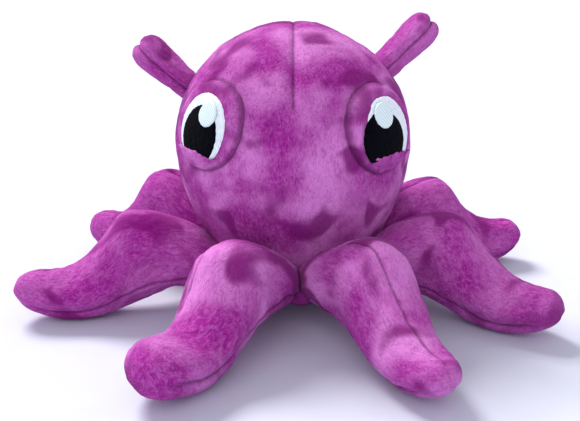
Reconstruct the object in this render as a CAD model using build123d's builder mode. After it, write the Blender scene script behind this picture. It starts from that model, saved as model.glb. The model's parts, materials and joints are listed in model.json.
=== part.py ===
"""Stuffed octopus soft toy, sewn from short-pile plush, in millimetres.

The origin is on the ground under the middle of the head, +Z is up and the face looks along -Y.
"Left" is the -X side, the left hand of someone looking at the face. An azimuth is measured about +Z
from straight ahead (-Y), positive towards +X.
"""

import os
from math import cos, degrees, hypot, radians, sin

from build123d import *

# ---- fabric ----
PLUSH = 2.5  # thickness of the plush with its pile
FELT = 1.0  # thickness of an eye's felt disc
LAYER_GAP = 0.3  # free space between two layers that lie on each other
SEAM_GAP = 0.4  # free space between two panels at their seam

# ---- head ----
HEAD_RADIUS = 74.0
HEAD_HEIGHT = 100.0  # height of the ball's centre
CREASE_RADIUS = 60.5  # the head skin ends here, above the roots of the tentacles
CREASE_HEIGHT = 51.0
POLE_CLEAR = 0.5  # the panels stop just short of the axis at the crown
HUB_RADIUS = 38.5  # filling between the roots of the tentacles
BASE_RADIUS = 46.0  # round panel under the hub
BASE_HEIGHT = 11.0
STITCH_COUNT = 18
STITCH_LENGTH = 7.0
STITCH_THREAD = 0.8  # radius of the closing thread

# ---- eyes: directions from the head's centre as (azimuth, latitude), outlines as half axes ----
MOUND_RISE = 4.5
MOUND_RADIUS = 27.0
MOUND_SHOULDER = 5.5  # width of the sloping rim
EYE_WHITE = (18.7, 20.0)
EYES = {
    "left": {
        "mound": (-45.0, 16.5),
        "white": (-43.8, 14.5),
        "pupil": (-43.8, 12.0),
        "pupil_size": (13.6, 16.4),
        "highlight": (-39.6, 20.7),
        "highlight_size": (6.4, 7.1),
    },
    "right": {
        "mound": (46.5, 15.0),
        "white": (46.3, 13.0),
        "pupil": (42.3, 10.0),
        "pupil_size": (16.0, 16.2),
        "highlight": (42.8, 20.0),
        "highlight_size": (7.1, 7.3),
    },
}
LID_DROP = 16.0  # from the mound's centre down to the lid's upper edge
LID_RADIUS = 25.0
LID_THICKNESS = 2.8

# ---- fins: base direction in the XZ plane and lean of the fin, both above level ----
FIN_SETBACK = 5.0  # behind the side seams of the head
FIN_STANDOFF = 12.0  # from the head's surface out to the flap axis
FINS = {"left": (-1, 28.3, 37.5), "right": (1, 40.0, 41.0)}
# slices of a fin: distance past the flap axis, half thickness, half depth from front to back
FIN_SLICES = [
    (-8.0, 5.0, 11.0),
    (-5.5, 8.2, 15.0),
    (0.0, 9.8, 18.0),
    (9.0, 10.0, 19.0),
    (17.0, 9.0, 18.0),
    (23.0, 6.4, 14.0),
    (26.0, 4.0, 8.0),
]

# ---- tentacles: name, azimuth of the root, reach of the tip, sideways sweep of the tip ----
TENTACLES = [
    ("front_left", -19.0, 179.5, -21.0),
    ("front_right", 25.5, 180.5, -3.0),
    ("fore_side_right", 66.0, 173.5, -21.5),
    ("rear_side_right", 110.5, 173.0, -12.0),
    ("back_right", 156.5, 178.0, 5.0),
    ("back_left", -159.0, 177.0, 6.0),
    ("rear_side_left", -114.5, 167.0, -8.0),
    ("fore_side_left", -68.0, 175.5, -21.0),
]
SWEEP_POWER = 2.5  # the sweep grows with this power of the reach
ROOT_REACH = 58.0
NOMINAL_REACH = 178.0
# slices of a tentacle: reach and height of the ridge, reach and height of the belly, half width
TENTACLE_SLICES = [
    (58.0, 45.5, 58.0, 12.5, 17.3),
    (69.0, 53.5, 67.0, 12.0, 20.8),
    (83.0, 62.0, 77.0, 14.0, 23.0),
    (97.0, 66.5, 88.0, 15.5, 23.0),
    (111.0, 63.5, 100.0, 13.5, 21.8),
    (127.0, 48.5, 114.0, 7.0, 20.3),
    (142.0, 35.5, 131.0, -0.8, 18.4),
    (155.0, 32.0, 149.0, -0.8, 16.6),
    (167.5, 31.5, 164.5, 3.5, 14.2),
    (174.5, 28.0, 172.5, 8.5, 10.5),
    (177.5, 22.5, 176.5, 14.5, 5.5),
]
PLUG_SLICE = (42.0, 41.5, 51.0, 15.0, 14.0)  # the filling reaches in towards the hub
RIDGE_ANGLE = 90.0  # seams of a slice, as angles on its oval
LOWER_LEFT_ANGLE = 215.0
LOWER_RIGHT_ANGLE = 325.0


def save(part, name):
    part.label = name
    export_step(part, f"parts/{name}.step")


def oval_point(half_width, half_height, inset, angle):
    turn = radians(angle)
    return ((half_width - inset) * cos(turn), (half_height - inset) * sin(turn))


def spherical_plane(azimuth, latitude):
    """Plane through the head's centre that faces out along a direction, with +Y of the plane up."""
    turn = radians(azimuth)
    lift = radians(latitude)
    outward = (sin(turn) * cos(lift), -cos(turn) * cos(lift), sin(lift))
    return Plane(origin=(0, 0, HEAD_HEIGHT), x_dir=(cos(turn), sin(turn), 0), z_dir=outward)


def meridian_plane(azimuth):
    """Upright plane through the axis, with +X of the plane pointing out at an azimuth."""
    turn = radians(azimuth)
    return Plane(
        origin=(0, 0, 0),
        x_dir=(sin(turn), -cos(turn), 0),
        z_dir=(-cos(turn), -sin(turn), 0),
    )


# ---- head ----
def lower_arc_radius():
    """Radius of the flank arc that leaves the ball's equator upright and meets the crease."""
    drop = HEAD_HEIGHT - CREASE_HEIGHT
    step = HEAD_RADIUS - CREASE_RADIUS
    return (drop**2 + step**2) / (2 * step)


def flank_reach(inset):
    """Distance from the axis to the head's flank at the height of the crease."""
    flank = lower_arc_radius()
    drop = HEAD_HEIGHT - CREASE_HEIGHT
    return HEAD_RADIUS - flank + ((flank - inset) ** 2 - drop**2) ** 0.5


def head_panel(start, end):
    """One skin panel of the head, between two azimuths."""
    trim = degrees(SEAM_GAP / 2 / HEAD_RADIUS)
    inner = HEAD_RADIUS - PLUSH
    crown = (POLE_CLEAR, HEAD_HEIGHT + (HEAD_RADIUS**2 - POLE_CLEAR**2) ** 0.5)
    crown_inner = (POLE_CLEAR, HEAD_HEIGHT + (inner**2 - POLE_CLEAR**2) ** 0.5)
    with BuildPart() as panel:
        with BuildSketch(meridian_plane(start + trim)):
            with BuildLine():
                Line(crown_inner, crown)
                RadiusArc(crown, (HEAD_RADIUS, HEAD_HEIGHT), HEAD_RADIUS)
                TangentArc(
                    (HEAD_RADIUS, HEAD_HEIGHT), (flank_reach(0), CREASE_HEIGHT), tangent=(0, -1)
                )
                Line((flank_reach(0), CREASE_HEIGHT), (flank_reach(PLUSH), CREASE_HEIGHT))
                TangentArc(
                    (inner, HEAD_HEIGHT),
                    (flank_reach(PLUSH), CREASE_HEIGHT),
                    tangent=(0, -1),
                )
                RadiusArc(crown_inner, (inner, HEAD_HEIGHT), inner)
            make_face()
        revolve(axis=Axis.Z, revolution_arc=end - start - 2 * trim)
    return panel.part


def head_filling():
    """Filling of the ball, with the hub that reaches down between the tentacles."""
    inset = PLUSH + LAYER_GAP
    radius = HEAD_RADIUS - inset
    hub_foot = BASE_HEIGHT + PLUSH + LAYER_GAP
    with BuildPart() as filling:
        with BuildSketch(meridian_plane(0)):
            with BuildLine():
                RadiusArc((0, HEAD_HEIGHT + radius), (radius, HEAD_HEIGHT), radius)
                TangentArc((radius, HEAD_HEIGHT), (flank_reach(inset), CREASE_HEIGHT), tangent=(0, -1))
                Polyline(
                    (flank_reach(inset), CREASE_HEIGHT),
                    (HUB_RADIUS, CREASE_HEIGHT),
                    (HUB_RADIUS, hub_foot),
                    (0, hub_foot),
                    (0, HEAD_HEIGHT + radius),
                )
            make_face()
        revolve(axis=Axis.Z)
    return filling.part


def round_base():
    """Round panel that closes the toy underneath."""
    with BuildPart() as base:
        with BuildSketch(Plane.XY.offset(BASE_HEIGHT)):
            Circle(BASE_RADIUS)
        extrude(amount=PLUSH)
        fillet(base.edges().group_by(Axis.Z)[0], radius=PLUSH / 2)
    return base.part


def base_stitches():
    """Ring of hand stitches on the underside of the base panel."""
    height = BASE_HEIGHT - STITCH_THREAD - LAYER_GAP
    with BuildPart() as stitches:
        with PolarLocations(BASE_RADIUS - STITCH_LENGTH, STITCH_COUNT):
            with Locations((0, 0, height)):
                Cylinder(STITCH_THREAD, STITCH_LENGTH, rotation=(0, 90, 25))
    return stitches.part


# ---- eyes ----
def mound_profile(top, foot):
    """Corner points of a mound's outline from its axis out to its rim, as (sideways, outward)."""
    shoulder = MOUND_RADIUS - MOUND_SHOULDER
    return (
        (0, top),
        (shoulder / 2, (top**2 - (shoulder / 2) ** 2) ** 0.5),
        (shoulder, (top**2 - shoulder**2) ** 0.5),
        (MOUND_RADIUS, (foot**2 - MOUND_RADIUS**2) ** 0.5),
    )


def eye_mound(side):
    """Raised plush ring and dome under the felt, open on the side of the head."""
    plane = spherical_plane(*EYES[side]["mound"])
    foot = HEAD_RADIUS + LAYER_GAP
    tip, rise, shoulder, rim = mound_profile(HEAD_RADIUS + MOUND_RISE, foot)
    bottom = (0, foot)
    middle = (MOUND_RADIUS / 2, (foot**2 - (MOUND_RADIUS / 2) ** 2) ** 0.5)
    profile_plane = Plane(origin=plane.origin, x_dir=plane.x_dir, z_dir=-plane.y_dir)
    with BuildPart() as mound:
        with BuildSketch(profile_plane):
            with BuildLine():
                ThreePointArc(tip, rise, shoulder)
                bulge = (MOUND_RADIUS - MOUND_SHOULDER * 0.30, shoulder[1] - MOUND_RISE * 0.42)
                ThreePointArc(shoulder, bulge, rim)
                ThreePointArc(rim, middle, bottom)
                Line(bottom, tip)
            make_face()
        revolve(axis=Axis(plane.origin, plane.z_dir))
        add(eye_hollow(side), mode=Mode.SUBTRACT)
    return mound.part


def eye_hollow(side):
    """Space inside a mound's plush, which the padding fills."""
    return eye_pad(side, LAYER_GAP)


def eye_pad(side, grow):
    """Padding behind the felt, or its hollow when grown by a gap."""
    plane = spherical_plane(*EYES[side]["mound"])
    top = HEAD_RADIUS + MOUND_RISE - PLUSH + grow - LAYER_GAP
    low = HEAD_RADIUS + 2 * LAYER_GAP - grow * 2
    with BuildPart() as pad:
        with BuildSketch(plane):
            Circle(MOUND_RADIUS - MOUND_SHOULDER - PLUSH + grow)
        extrude(amount=2 * HEAD_RADIUS)
        with Locations((0, 0, HEAD_HEIGHT)):
            Sphere(top, mode=Mode.INTERSECT)
            Sphere(low, mode=Mode.SUBTRACT)
    return pad.part


def felt_disc(direction, outline, inner):
    """Oval of felt that lies on a sphere about the head's centre."""
    with BuildPart() as disc:
        with BuildSketch(spherical_plane(*direction)):
            Ellipse(*outline)
        extrude(amount=2 * HEAD_RADIUS)
        with Locations((0, 0, HEAD_HEIGHT)):
            Sphere(inner + FELT, mode=Mode.INTERSECT)
            Sphere(inner, mode=Mode.SUBTRACT)
    return disc.part


def lower_lid(side, inner):
    """Crescent of plush over the lower edge of the felt."""
    with BuildPart() as lid:
        with BuildSketch(spherical_plane(*EYES[side]["mound"])):
            Circle(LID_RADIUS)
            with Locations((0, LID_RADIUS - LID_DROP)):
                Rectangle(2 * LID_RADIUS, 2 * LID_RADIUS, mode=Mode.SUBTRACT)
        extrude(amount=2 * HEAD_RADIUS)
        with Locations((0, 0, HEAD_HEIGHT)):
            Sphere(inner + LID_THICKNESS, mode=Mode.INTERSECT)
            Sphere(inner, mode=Mode.SUBTRACT)
    return lid.part


def save_eye(side):
    eye = EYES[side]
    white_inner = HEAD_RADIUS + MOUND_RISE + LAYER_GAP
    pupil_inner = white_inner + FELT + LAYER_GAP
    highlight_inner = pupil_inner + FELT + LAYER_GAP
    save(eye_mound(side), f"{side}_eye_mound")
    save(eye_pad(side, 0), f"{side}_eye_padding")
    save(felt_disc(eye["white"], EYE_WHITE, white_inner), f"{side}_eye_white")
    save(felt_disc(eye["pupil"], eye["pupil_size"], pupil_inner), f"{side}_eye_pupil")
    save(felt_disc(eye["highlight"], eye["highlight_size"], highlight_inner), f"{side}_eye_highlight")
    save(lower_lid(side, highlight_inner), f"{side}_eye_lower_lid")


# ---- fins ----
def fin_plane(side, distance):
    """Plane across a fin at a distance past its flap axis, with +X of the plane to the front."""
    sign, base, lean = FINS[side]
    base_turn = radians(base)
    lean_turn = radians(lean)
    along = (sign * cos(lean_turn), 0, sin(lean_turn))
    reach = FIN_STANDOFF + distance
    origin = (
        sign * HEAD_RADIUS * cos(base_turn) + along[0] * reach,
        FIN_SETBACK,
        HEAD_HEIGHT + HEAD_RADIUS * sin(base_turn) + along[2] * reach,
    )
    return Plane(origin=origin, x_dir=(0, -1, 0), z_dir=along)


def fin_panel(side, start, end):
    """Upper or lower skin of a fin, between the seams on its front and back edges."""
    with BuildPart() as panel:
        for distance, half_thickness, half_depth in FIN_SLICES:
            trim = degrees(SEAM_GAP / 2 / half_thickness)
            middle = (start + end) / 2
            with BuildSketch(fin_plane(side, distance)):
                with BuildLine():
                    outer = ThreePointArc(
                        oval_point(half_depth, half_thickness, 0, start + trim),
                        oval_point(half_depth, half_thickness, 0, middle),
                        oval_point(half_depth, half_thickness, 0, end - trim),
                    )
                    inner = ThreePointArc(
                        oval_point(half_depth, half_thickness, PLUSH, start + trim),
                        oval_point(half_depth, half_thickness, PLUSH, middle),
                        oval_point(half_depth, half_thickness, PLUSH, end - trim),
                    )
                    Line(outer @ 0, inner @ 0)
                    Line(outer @ 1, inner @ 1)
                make_face()
        loft()
    return panel.part


def fin_filling(side):
    inset = PLUSH + LAYER_GAP
    with BuildPart() as filling:
        for distance, half_thickness, half_depth in FIN_SLICES[:-1]:
            with BuildSketch(fin_plane(side, distance)):
                with BuildLine():
                    for start in (0, 180):
                        ThreePointArc(
                            oval_point(half_depth, half_thickness, inset + LAYER_GAP, start),
                            oval_point(half_depth, half_thickness, inset, start + 90),
                            oval_point(half_depth, half_thickness, inset + LAYER_GAP, start + 180),
                        )
                make_face()
        loft()
    return filling.part


def save_fin(side):
    seam_flip = FINS[side][0]
    upper = (0, 180) if seam_flip < 0 else (180, 360)
    lower = (180, 360) if seam_flip < 0 else (0, 180)
    save(fin_panel(side, *upper), f"{side}_fin_upper_panel")
    save(fin_panel(side, *lower), f"{side}_fin_lower_panel")
    save(fin_filling(side), f"{side}_fin_stuffing")


# ---- tentacles ----
def tentacle_point(tentacle, reach, height):
    """Point of a tentacle's bent middle plane, from its reach along the root direction."""
    _, azimuth, tip_reach, sweep = tentacle
    stretch = (tip_reach - ROOT_REACH) / (NOMINAL_REACH - ROOT_REACH)
    out = ROOT_REACH + (reach - ROOT_REACH) * stretch
    side = sweep * (max(reach - ROOT_REACH, 0) / (NOMINAL_REACH - ROOT_REACH)) ** SWEEP_POWER
    turn = radians(azimuth)
    return Vector(out * sin(turn) + side * cos(turn), -out * cos(turn) + side * sin(turn), height)


def slice_plane(tentacle, tentacle_slice):
    """Plane of one slice, centred between ridge and belly, with +Y of the plane towards the ridge."""
    ridge_reach, ridge_height, belly_reach, belly_height, _ = tentacle_slice
    ridge = tentacle_point(tentacle, ridge_reach, ridge_height)
    belly = tentacle_point(tentacle, belly_reach, belly_height)
    turn = radians(tentacle[1])
    span = NOMINAL_REACH - ROOT_REACH
    progress = max((ridge_reach + belly_reach) / 2 - ROOT_REACH, 0) / span
    bend = SWEEP_POWER * tentacle[3] / span * progress ** (SWEEP_POWER - 1)
    across = Vector(cos(turn) - bend * sin(turn), sin(turn) + bend * cos(turn), 0).normalized()
    up = (ridge - belly).normalized()
    return Plane(origin=(ridge + belly) / 2, x_dir=across, z_dir=across.cross(up))


def half_height(tentacle_slice):
    ridge_reach, ridge_height, belly_reach, belly_height, _ = tentacle_slice
    return hypot(ridge_reach - belly_reach, ridge_height - belly_height) / 2


def tentacle_panel(tentacle, start, end):
    """Skin panel of a tentacle between two seams, as a crescent lofted from root to toe."""
    middle = (start + end) / 2
    with BuildPart() as panel:
        for tentacle_slice in TENTACLE_SLICES:
            width = tentacle_slice[4]
            height = half_height(tentacle_slice)
            trim = degrees(SEAM_GAP / 2 / min(width, height))
            with BuildSketch(slice_plane(tentacle, tentacle_slice)):
                with BuildLine():
                    outer = ThreePointArc(
                        oval_point(width, height, 0, start + trim),
                        oval_point(width, height, 0, middle),
                        oval_point(width, height, 0, end - trim),
                    )
                    inner = ThreePointArc(
                        oval_point(width, height, PLUSH, start + trim),
                        oval_point(width, height, PLUSH, middle),
                        oval_point(width, height, PLUSH, end - trim),
                    )
                    Line(outer @ 0, inner @ 0)
                    Line(outer @ 1, inner @ 1)
                make_face()
        loft()
        split(bisect_by=Plane.XY, keep=Keep.TOP)
    return panel.part


def tentacle_filling(tentacle):
    """Filling of a tentacle, with a plug at the root that reaches in towards the hub."""
    inset = PLUSH + LAYER_GAP
    seams = (RIDGE_ANGLE, LOWER_LEFT_ANGLE, LOWER_RIGHT_ANGLE, RIDGE_ANGLE + 360)
    root_slice = TENTACLE_SLICES[0]
    with BuildPart() as filling:
        for run in ([PLUG_SLICE, root_slice], TENTACLE_SLICES):
            for tentacle_slice in run:
                width = tentacle_slice[4]
                height = half_height(tentacle_slice)
                with BuildSketch(slice_plane(tentacle, tentacle_slice)):
                    with BuildLine():
                        for start, end in zip(seams, seams[1:]):
                            ThreePointArc(
                                oval_point(width, height, inset, start),
                                oval_point(width, height, inset, (start + end) / 2),
                                oval_point(width, height, inset, end),
                            )
                    make_face()
            loft()
    return filling.part


def save_tentacle(tentacle):
    name = tentacle[0]
    left = tentacle_panel(tentacle, RIDGE_ANGLE, LOWER_LEFT_ANGLE)
    underside = tentacle_panel(tentacle, LOWER_LEFT_ANGLE, LOWER_RIGHT_ANGLE)
    right = tentacle_panel(tentacle, LOWER_RIGHT_ANGLE, RIDGE_ANGLE + 360)
    save(left, f"{name}_tentacle_left_panel")
    save(right, f"{name}_tentacle_right_panel")
    save(underside, f"{name}_tentacle_underside_panel")
    save(tentacle_filling(tentacle), f"{name}_tentacle_stuffing")


os.makedirs("parts", exist_ok=True)
save(head_panel(-90, 90), "head_front_panel")
save(head_panel(90, 180), "head_back_right_panel")
save(head_panel(180, 270), "head_back_left_panel")
save(head_filling(), "head_stuffing")
save(round_base(), "base_panel")
save(base_stitches(), "closing_stitches")
for eye_side in EYES:
    save_eye(eye_side)
for fin_side in FINS:
    save_fin(fin_side)
for one_tentacle in TENTACLES:
    save_tentacle(one_tentacle)
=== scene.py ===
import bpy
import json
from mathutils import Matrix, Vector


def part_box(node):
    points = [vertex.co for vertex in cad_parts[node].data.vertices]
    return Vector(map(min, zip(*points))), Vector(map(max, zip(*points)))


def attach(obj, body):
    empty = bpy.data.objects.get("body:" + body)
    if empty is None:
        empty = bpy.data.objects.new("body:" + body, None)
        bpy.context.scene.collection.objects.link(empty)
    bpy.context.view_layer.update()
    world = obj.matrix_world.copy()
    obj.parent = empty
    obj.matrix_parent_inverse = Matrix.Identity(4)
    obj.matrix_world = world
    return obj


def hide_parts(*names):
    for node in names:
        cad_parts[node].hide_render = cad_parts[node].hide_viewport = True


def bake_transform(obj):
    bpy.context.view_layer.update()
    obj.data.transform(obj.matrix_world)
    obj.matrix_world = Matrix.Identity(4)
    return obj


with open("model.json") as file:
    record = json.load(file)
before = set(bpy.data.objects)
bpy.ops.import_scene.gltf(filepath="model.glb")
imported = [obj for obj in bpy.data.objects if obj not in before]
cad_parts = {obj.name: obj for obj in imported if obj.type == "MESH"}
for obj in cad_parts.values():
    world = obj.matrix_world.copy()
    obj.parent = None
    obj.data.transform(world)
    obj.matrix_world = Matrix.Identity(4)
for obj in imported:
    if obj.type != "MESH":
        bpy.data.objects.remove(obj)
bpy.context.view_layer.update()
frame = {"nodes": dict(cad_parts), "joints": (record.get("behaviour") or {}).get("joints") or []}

# Looks of the stuffed octopus. Shapes are worked out in millimetres and turned into metres when a
# mesh is made. An azimuth is measured about +Z from straight ahead (-Y), positive towards +X.
import json
from itertools import product
from math import atan2, cos, pi, radians, sin

import bpy
import numpy as np

MM = 0.001
TINY = 1e-6
FAR = 100.0  # added to the distance from a seam where the seam has no effect
LATTICE_SIZE = 32
LATTICE = np.random.default_rng(11).uniform(-1, 1, (LATTICE_SIZE,) * 3)

# ---- sewing and swelling ----
SWELL_FRAMES = 20
SWELL_CAP = 1.5  # the most a point may move while a piece is blown up
THREAD_PULL = 0.02  # share by which a seam's thread draws the fabric together
THREAD_REACH = 3.0  # how far from a seam the thread still pulls
WEIGHT_CUT = 0.01  # weights below this are left out
CLOTH = {
    "quality": 4,
    "mass": 0.25,
    "tension_stiffness": 18,
    "compression_stiffness": 12,
    "shear_stiffness": 6,
    "bending_stiffness": 0.6,
    "use_pressure": True,
    "uniform_pressure_force": 4.0,
    "vertex_group_mass": "held",
    "vertex_group_shrink": "sewn",
    "shrink_min": 0.0,
    "shrink_max": THREAD_PULL,
}
FINE_LEVELS = 2  # subdivisions between the simulated mesh and the final one

# ---- relief of the pile: lengths of its patterns and their heights ----
LUMP_LENGTH, LUMP_HEIGHT = 26.0, 0.75
WAVE_LENGTH, WAVE_HEIGHT = 9.0, 0.28
PILE_LENGTH, PILE_HEIGHT = 2.3, 0.20
PILE_COMB = np.array([0.55, 1.0, 1.0])  # the pile is combed along the first coordinate
SEAM_WIDTH, SEAM_DEPTH = 1.1, 0.75
SEAM_EVENNESS = 0.8  # share of a seam's depth that doesn't change along it
SEAM_LINE = 0.9  # half width of the dark line where two panels meet
VALLEY_WIDTH, VALLEY_DEPTH = 4.5, 0.3
PUCKER_LENGTH, PUCKER_REACH, PUCKER_HEIGHT = 5.0, 4.0, 0.5
PUCKER_ACROSS = 0.15  # puckers run across a seam, so they change this slowly that way
TENSION_LENGTH, TENSION_CHANGE = 11.0, 0.5  # the thread pulls more and less along a seam
# places of the patterns in the lattice: of each kind of relief, of each seam and of each skin
WAVE_SHIFT, PILE_SHIFT, TENSION_SHIFT, SEAM_SHIFT = 5.3, 9.1, 2.7, 40.0
HEAD_SEED, HUB_SEED, MOUND_SEED, TENTACLE_SEED, FIN_SEED = 3.7, 8.2, 6.0, 1.0, 20.0
NAP_SHIFT = 37.0

# ---- colour of the pile: lengths of its patterns, and the pieces whose pile lies dark and that get painted shade ----
STROKE_LENGTH, CLOUD_LENGTH = 24.0, 34.0
RUFFLE_LENGTH, CURL_LENGTH, TUFT_LENGTH = 3.8, 1.6, 0.8
# how far each piece is darkened, from 0 to 1: partly its pile lying towards its dark side, partly
# painted shade on the pieces at the sides and back
BRUSHED_AND_SHADED = {
    "rear_side_left_tentacle_skin": 0.85,
    "rear_side_right_tentacle_skin": 0.7,
    "fore_side_left_tentacle_skin": 0.6,
    "fore_side_right_tentacle_skin": 0.45,
    "back_left_tentacle_skin": 0.4,
    "back_right_tentacle_skin": 0.4,
    "left_fin_skin": 0.6,
    "right_fin_skin": 0.4,
}

# ---- head ----
HEAD_CELLS = 24  # cells along one side of the cube that the head's ball is rounded from
CREASE_HEIGHT = 51.0
CREASE_RADIUS = 60.5
HEAD_FOOT = 30.0  # the head's skin runs down behind the crease, between the roots, to this height
FOOT_RADIUS = 50.0
FOOT_TUCK = 1.5  # the floor that closes the skin lies this much below its foot
NECK_POWER = 1.4
HEAD_SEAMS = (90, -90, 180)  # azimuths of the seams down both sides and the back
HEAD_THREAD_REACH = 4.0
DART_END = 27.0  # latitude where the dart at the front of the crown runs out
DART_FADE = 1.2  # distance from the dart for each degree past its end
BAND_HEIGHT = 4.0  # height of the bands of the head that keep their size in the simulation
BAND_TOP = 180.0

# ---- hub between the roots, with the round base ----
HUB_OUTLINE = np.array([
    (0.0, 33.0), (24.0, 33.0), (44.0, 33.0), (50.0, 32.0), (54.5, 28.5), (57.0, 23.5),
    (57.3, 18.5), (56.0, 14.0), (52.0, 11.8), (44.0, 11.3), (30.0, 11.5), (12.0, 11.5), (0.0, 11.5),
])
HUB_RADIUS = 57.0
HUB_SEAM_HEIGHT, HUB_SEAM_START = 17.5, 50.0  # the seam round the side, outside this reach
BASE_SEAM_RADIUS, BASE_SEAM_TOP = 44.0, 20.0  # the seam round the base, below this height
HUB_RINGS, HUB_SPOKES = 110, 240
WEB_REACH, WEB_TURN = 15.0, 0.26  # the underside stands out between two roots, this far and wide
WEB_HEIGHT, WEB_THICKNESS, WEB_START = 22.5, 8.0, 48.0

# ---- tentacles: ridge reach and height, belly reach and height, half width ----
ROOT_REACH = 58.0
TENTACLE_SLICES = np.array([
    (42.0, 37.0, 44.0, 17.0, 18.0),
    (50.0, 41.5, 51.0, 14.0, 23.0),
    (58.0, 46.0, 58.0, 12.5, 26.5),
    (69.0, 54.0, 66.0, 13.0, 28.2),
    (83.0, 61.3, 76.0, 13.6, 26.6),
    (97.0, 65.6, 87.0, 12.7, 23.8),
    (112.0, 64.0, 99.0, 9.8, 22.2),
    (127.0, 47.6, 113.0, 5.0, 20.4),
    (142.0, 34.5, 130.0, -0.4, 18.4),
    (155.0, 31.5, 148.0, -0.6, 16.6),
    (167.0, 31.0, 163.0, 4.0, 14.2),
    (174.0, 28.0, 171.5, 9.0, 10.4),
    (177.5, 22.5, 176.5, 14.5, 5.0),
])
TENTACLE_END = 178.0
TENTACLE_RINGS, TENTACLE_SPOKES = 56, 48
TENTACLE_SEAMS = (0.0, 125.0, -125.0)  # angles of a slice's seams, from the ridge
# angle of the ridge seam at the root and at the toe, positive towards the side of rising azimuth;
# the belly stays where it is
TWIST = {
    "front_left": (-26.0, -62.0),
    "front_right": (-22.0, 4.0),
    "fore_side_left": (-20.0, -12.0),
    "fore_side_right": (18.0, 20.0),
}
ARCH_REACH, ARCH_WIDTH = 95.0, 30.0
RAISE = {"rear_side_left": 0.07}  # share by which an arch is higher than the others
TOE_REACH, TOE_WIDTH = 164.0, 16.0
TOE_FLARE = {"front_left": -0.25}  # share by which a toe bulges to the side
TOE_RISE = {"front_left": 0.12, "front_right": -0.09}  # share by which a toe's ridge is higher
TOE_EASE_LENGTH, TOE_EASE = 20.0, 0.2  # seams get shallower over this length, down to this share
TIP_DEPTH = 2.0  # depth of the tip over which its sideways place is measured
PILE_TRIM = 1.3  # the skin starts this much shorter, since it swells and its pile stands out
SWEEP_POWER = 2.5
CONTACT_SOFTNESS = 0.9  # how softly a root bends to its contact with the next one
FLOOR_SOFTNESS = 0.12
HINGE_REACH = 60.0

# ---- fins: distance past the flap axis, half thickness, half depth ----
FIN_SLICES = np.array([
    (-20.0, 7.5, 11.5),
    (-12.0, 8.6, 14.5),
    (-4.0, 9.0, 16.5),
    (4.0, 9.4, 18.0),
    (12.0, 10.0, 19.0),
    (19.0, 10.2, 18.5),
    (24.5, 8.6, 15.0),
    (27.5, 5.0, 8.5),
])
FIN_END = 28.0
FIN_LIFT = 4.5  # the stuffed fin stands a little steeper than its panels
FIN_RINGS, FIN_SPOKES = 26, 36
FIN_SEAMS = (90.0, -90.0)  # along the fin's front and back edges
FIN_CLEFT, CLEFT_WIDTH, CLEFT_START = 1.3, 3.0, 8.0  # extra depth of the seam towards the tip
FIN_TIP_DEPTH = 1.5
FIN_HELD = -9.0  # the fin's skin is held fast up to here, inside the head

# ---- eyes ----
MOUND_SHARE = 0.955  # the pile of the mound's rim lies flat over its edge
MOUND_PROFILE = (
    (0.0, 4.5), (0.3, 4.5), (0.6, 4.4), (0.8, 4.1), (0.9, 3.5), (0.96, 2.4), (0.99, 1.0),
    (0.995, -0.6), (0.97, -2.2), (0.88, -3.0), (0.5, -3.0), (0.0, -3.0),
)
MOUND_RINGS, MOUND_SPOKES = 90, 220
MOUND_RELIEF = 0.8  # share of the usual relief
MOUND_BACK = 60.0  # the mound's rim lies farther out than this from the head's centre
# layers: name, height of the back above the head's ball, thickness, material, relief and the
# shares of the CAD layer's half sizes
FELT_LAYERS = (
    ("white", 4.3, 1.0, "white_felt", 0.12, (0.94, 1.0)),
    ("pupil", 5.1, 1.0, "black_felt", 0.12, (1.0, 1.0)),
    ("highlight", 5.9, 0.9, "white_thread", 0.04, (1.0, 1.0)),
)
FELT_RINGS, FELT_SPOKES = 46, 150
FELT_GRAIN, GRAIN_STEEPNESS = 1.3, 3  # the grain changes this much faster through the felt
FELT_RAGGED, RAGGED_DETAIL, RAGGED_SHIFT = 0.012, 16.0, 5.0
LID_EDGE = {"left": (15.6, 0.16), "right": (15.4, 0.0)}  # depth below the mound's centre, slope
LID_OVERLAP = 2.5  # the felt runs this far under the lid
FELT_LEVEL = 5.0  # height above the head's ball at which the lid's edge is found on the felt
LID_WIDTH = 7.0
LID_INSET, LID_SPAN = 2.0, 0.97  # the lid stays inside the mound's rim
LID_THINNEST, LID_TAPER_END, LID_PUFF_END = 0.6, 0.05, 0.1
LID_RISE, LID_PUFF, LID_LEAN = 4.6, 1.6, 1.0
LID_GRAIN, LID_RELIEF = 1.6, 0.3
FRINGE_LENGTH, FRINGE_HEIGHT, FRINGE_SHIFT = 1.4, 0.8, 3.0
LID_RINGS, LID_SPOKES = 150, 44

# ---- studio, in metres and degrees ----
CAMERA_PLACE = (0.0, -0.5075, 0.2178)
CAMERA_PITCH = 72.04
CAMERA_TURN = 0.21
CAMERA_LENS = 50.71
CAMERA_SENSOR = 36.0
FLOOR_SIZE = 12.0
FLOOR_DROP = 0.0003  # the soles press this far into the floor's softness
ROOM_LIGHT = 0.69
ROOM_TINT = (0.93, 0.94, 1.0, 1.0)
# suns: name, strength, angle of softness, tilt, colour
SUNS = (
    ("key", 3.5, 24, (-30, -28, 0), (1.0, 0.985, 0.96)),
    ("fill", 0.75, 50, (50, -20, 0), (0.95, 0.96, 1.0)),
)


# ---- numbers ----
def noise(points, length, shift=0.0):
    """Smooth random values from -1 to 1 at points, alike over about one length."""
    cell = points / length + shift
    low = np.floor(cell).astype(int)
    part = cell - low
    part = part * part * (3 - 2 * part)
    total = np.zeros(len(points))
    for corner in product((0, 1), repeat=3):
        weight = np.prod(np.where(corner, part, 1 - part), axis=1)
        index = (low + corner) % LATTICE_SIZE
        total += weight * LATTICE[index[:, 0], index[:, 1], index[:, 2]]
    return total


def bell(distance, width):
    """1 at no distance, falling smoothly to about a third at one width."""
    return np.exp(-((distance / width) ** 2))


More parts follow.
